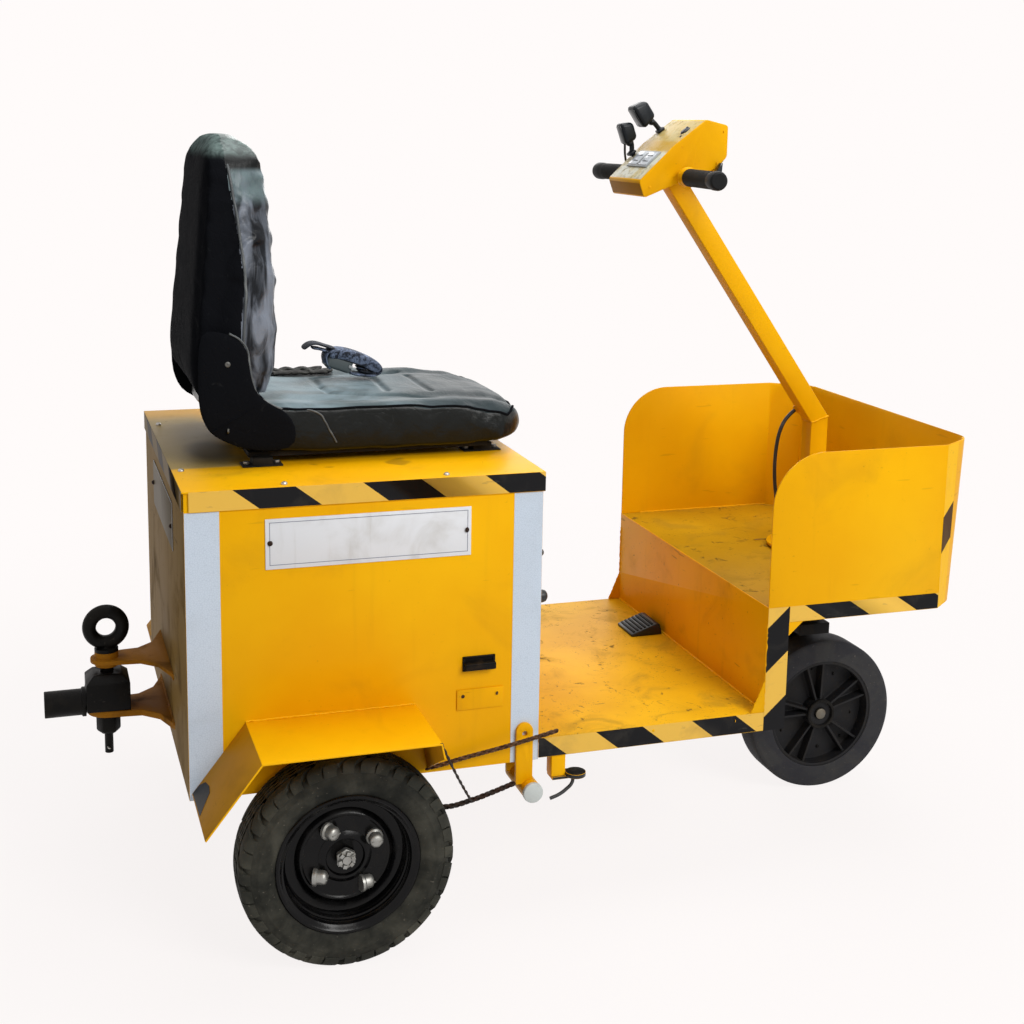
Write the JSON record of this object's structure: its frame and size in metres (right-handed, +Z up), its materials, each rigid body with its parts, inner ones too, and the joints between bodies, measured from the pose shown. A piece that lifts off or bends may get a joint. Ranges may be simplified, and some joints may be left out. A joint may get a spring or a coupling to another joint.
{
  "type": "three-wheeled electric baggage tug",
  "caption": "Small ride-on electric tow tractor with a battery box under the seat, a front load tray, tiller steering and a rear tow hitch.",
  "frame": {"origin": "on the floor, under the middle of the whole vehicle", "axes": "+X forward, +Y to the vehicle's left, +Z up"},
  "size_m": [1.812, 1.098, 1.5101],
  "materials": {
    "body": "glossy safety yellow paint, scuffed and dirty",
    "frame": "dull black paint with road dirt",
    "axle": "dirty dark cast metal",
    "battery": "matt dark casing",
    "black_steel": "semi-gloss black paint, greasy",
    "vinyl": "black vinyl, worn and wrinkled",
    "webbing": "worn woven belt",
    "plate": "blank white plate with a thin dark border",
    "black_plastic": "matt black plastic",
    "chain": "rusty steel links",
    "tyre": "dusty black rubber",
    "grip": "matt black rubber",
    "display": "grey meter panel with plain marks",
    "cable": "black cable sheath"
  },
  "bodies": {
    "root": {"chassis_frame": "frame", "rear_axle": "axle", "drive_motor": "axle", "battery_block": "battery", "box_floor": "body", "box_side_right": "body", "box_side_left": "body", "box_rear_panel": "body", "box_front_panel": "body", "box_lid": "body", "fender_right": "body", "fender_left": "body", "footboard": "body", "riser_panel": "body", "load_deck": "body", "tray_side_right": "body", "tray_side_left": "body", "tray_front": "body", "steering_head": "frame", "hitch_plates": "body", "hitch_eye_bolt": "black_steel", "hitch_nut": "black_steel", "seat_base": "black_steel", "seat_cushion": "vinyl", "seat_backrest": "vinyl", "seat_wings": "vinyl", "seat_belt": "webbing", "sign_plates": "plate", "side_handle": "black_plastic", "cover_plate": "body", "box_knobs": "black_plastic", "stop_bracket": "body", "stop_tube": "body", "foot_stub": "body", "chains": "chain", "tie_wire": "chain", "accelerator_pedal": "black_plastic"},
    "rear_wheel_left": {"rear_tyre_left": "tyre", "rear_rim_left": "black_steel", "rear_hub_left": "axle"},
    "rear_wheel_right": {"rear_tyre_right": "tyre", "rear_rim_right": "black_steel", "rear_hub_right": "axle"},
    "steering": {"front_fork": "frame", "steering_column": "body", "console_box": "body", "display": "display", "key_switch": "black_steel", "handlebar": "black_steel", "grip_right": "grip", "grip_left": "grip", "lamp_upper": "black_plastic", "lamp_lower": "black_plastic", "steering_cable": "cable"},
    "front_wheel": {"front_tyre": "tyre", "front_rim": "black_steel"},
    "coupler": {"coupler_block": "black_steel"}
  },
  "joints": [
    {"name": "rear_wheel_left_spin", "type": "hinge", "parent": "root", "child": "rear_wheel_left", "pos_m": [-0.421, 0.42, 0.19], "axis": [0, 1, 0], "continuous": true},
    {"name": "rear_wheel_right_spin", "type": "hinge", "parent": "root", "child": "rear_wheel_right", "pos_m": [-0.421, -0.42, 0.19], "axis": [0, 1, 0], "continuous": true},
    {"name": "steering_turn", "type": "hinge", "parent": "root", "child": "steering", "pos_m": [0.702, 0, 0.45], "axis": [0, 0, 1], "range_deg": [-65, 65]},
    {"name": "front_wheel_spin", "type": "hinge", "parent": "steering", "child": "front_wheel", "pos_m": [0.736, 0, 0.17], "axis": [0, 1, 0], "continuous": true},
    {"name": "coupler_swivel", "type": "hinge", "parent": "root", "child": "coupler", "pos_m": [-0.79, 0, 0.38], "axis": [0, 0, 1], "range_deg": [-30, 30]}
  ]
}
